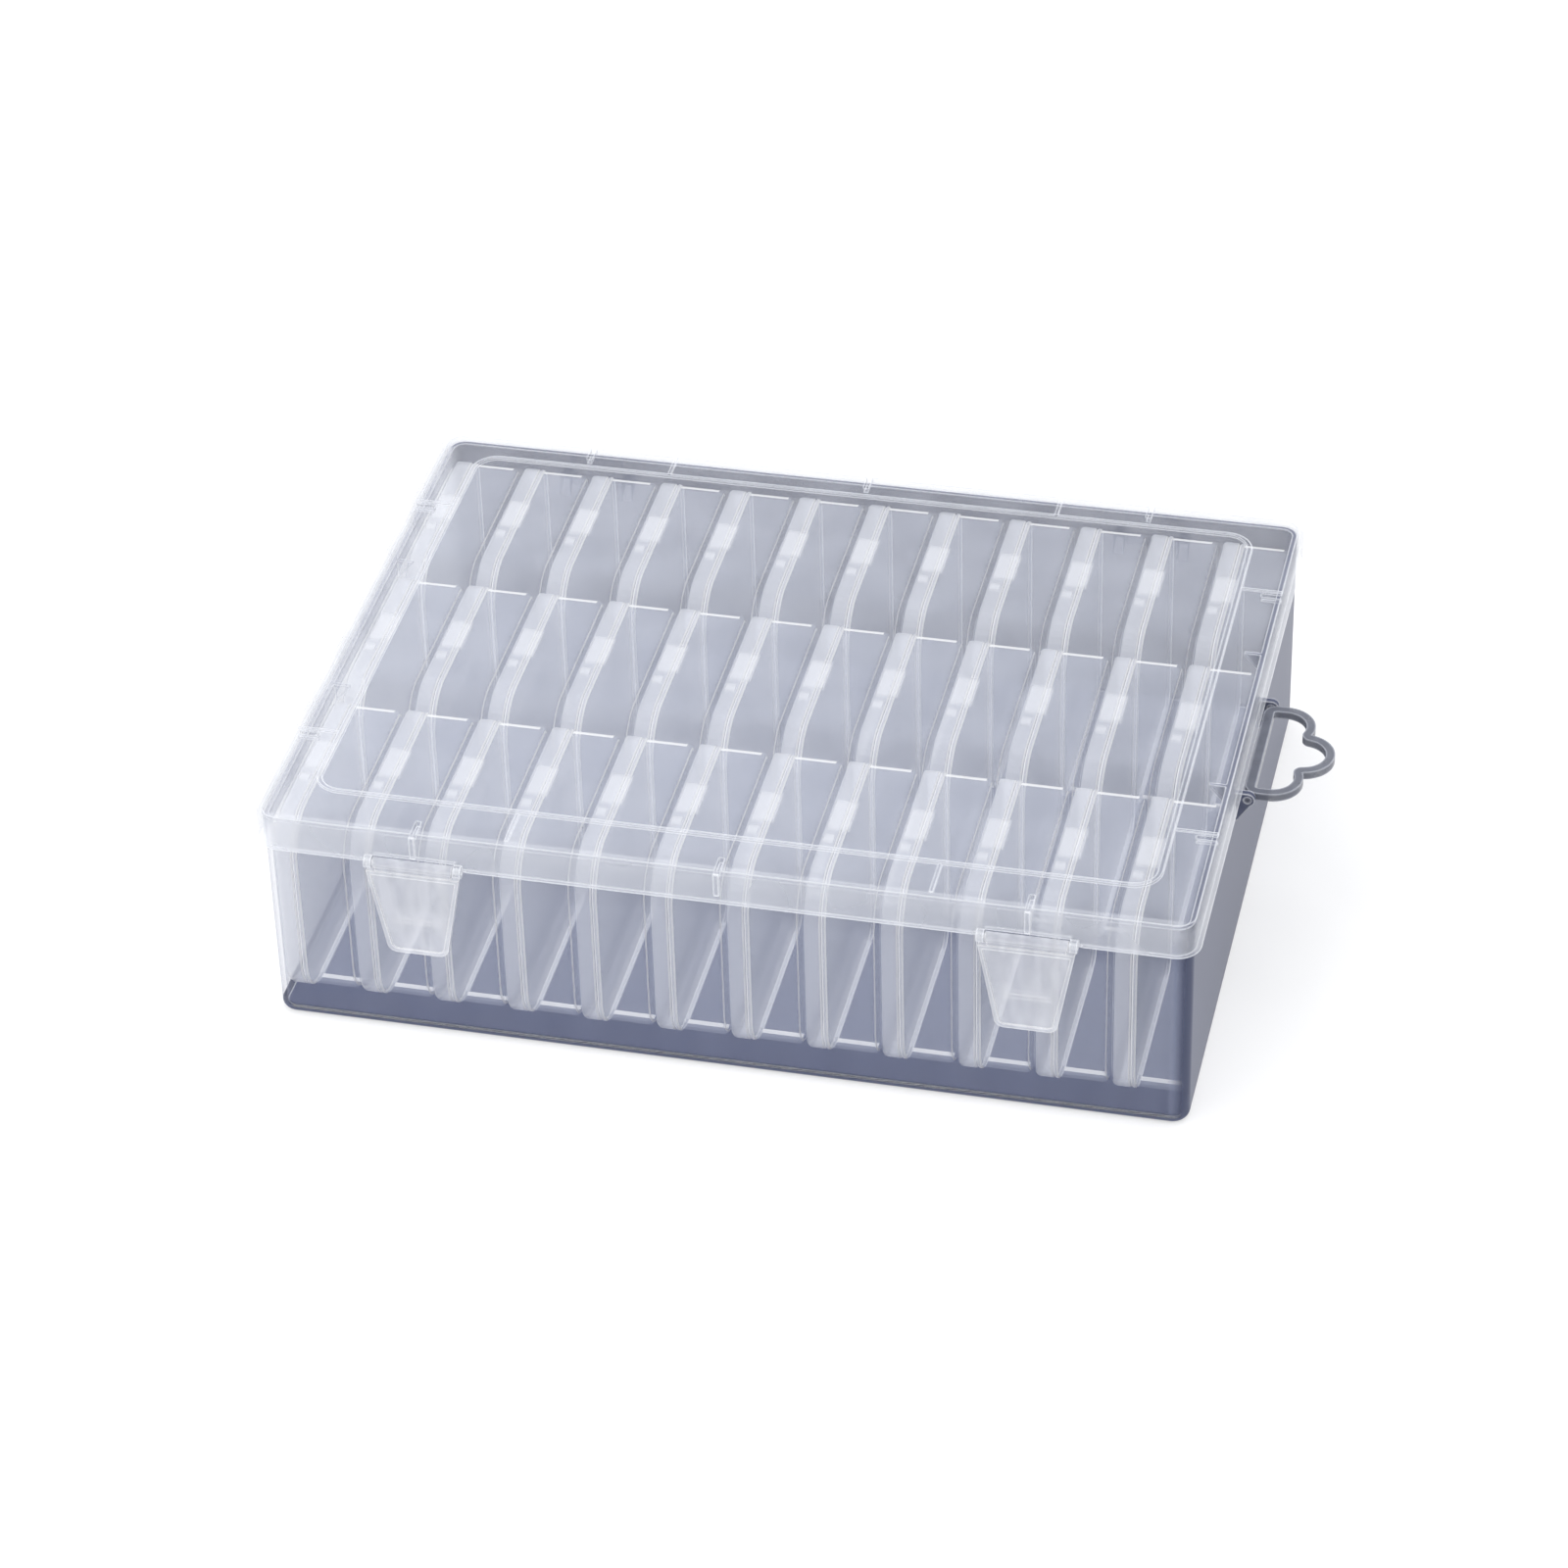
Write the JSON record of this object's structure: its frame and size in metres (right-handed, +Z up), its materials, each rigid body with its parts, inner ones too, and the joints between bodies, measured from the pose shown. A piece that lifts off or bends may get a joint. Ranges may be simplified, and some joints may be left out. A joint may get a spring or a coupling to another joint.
{
  "type": "embroidery thread storage box",
  "caption": "Clear snap-lid embroidery floss box with rows of slim clamshell mini cases, two front latches and a trefoil hang handle.",
  "frame": {"origin": "centre of the flat underside of the tub, midway between its walls", "axes": "+Z up, +X to the right-hand side with the hang handle, +Y to the back with the lid's hinges, latches at -Y"},
  "size_m": [0.291, 0.2108, 0.0729],
  "materials": {
    "clear_shell": "gloss",
    "case_plastic": "gloss",
    "frosted_clip": "satin",
    "grey_handle": "gloss"
  },
  "bodies": {
    "base": {"base_tub": "clear_shell", "case_front_01": "case_plastic", "case_front_02": "case_plastic", "case_front_03": "case_plastic", "case_front_04": "case_plastic", "case_front_05": "case_plastic", "case_front_06": "case_plastic", "case_front_07": "case_plastic", "case_front_08": "case_plastic", "case_front_09": "case_plastic", "case_front_10": "case_plastic", "case_front_11": "case_plastic", "case_front_12": "case_plastic", "case_middle_01": "case_plastic", "case_middle_02": "case_plastic", "case_middle_03": "case_plastic", "case_middle_04": "case_plastic", "case_middle_05": "case_plastic", "case_middle_06": "case_plastic", "case_middle_07": "case_plastic", "case_middle_08": "case_plastic", "case_middle_09": "case_plastic", "case_middle_10": "case_plastic", "case_middle_11": "case_plastic", "case_middle_12": "case_plastic", "case_rear_01": "case_plastic", "case_rear_02": "case_plastic", "case_rear_03": "case_plastic", "case_rear_04": "case_plastic", "case_rear_05": "case_plastic", "case_rear_06": "case_plastic", "case_rear_07": "case_plastic", "case_rear_08": "case_plastic", "case_rear_09": "case_plastic", "case_rear_10": "case_plastic", "case_rear_11": "case_plastic", "case_rear_12": "case_plastic"},
    "lid": {"lid": "clear_shell"},
    "latch_left": {"latch_left": "frosted_clip"},
    "latch_right": {"latch_right": "frosted_clip"},
    "hang_handle": {"hang_handle": "grey_handle"}
  },
  "joints": [
    {"name": "lid_hinge", "type": "hinge", "parent": "base", "child": "lid", "pos_m": [0, 0.1042, 0.0575], "axis": [-1, 0, 0], "range_deg": [0, 110]},
    {"name": "latch_left_hinge", "type": "hinge", "parent": "lid", "child": "latch_left", "pos_m": [-0.087, -0.1026, 0.0609], "axis": [-1, 0, 0], "range_deg": [0, 115]},
    {"name": "latch_right_hinge", "type": "hinge", "parent": "lid", "child": "latch_right", "pos_m": [0.087, -0.1026, 0.0609], "axis": [-1, 0, 0], "range_deg": [0, 115]},
    {"name": "handle_hinge", "type": "hinge", "parent": "base", "child": "hang_handle", "pos_m": [0.1355, 0, 0.0579], "axis": [0, 1, 0], "range_deg": [-80, 85]}
  ]
}
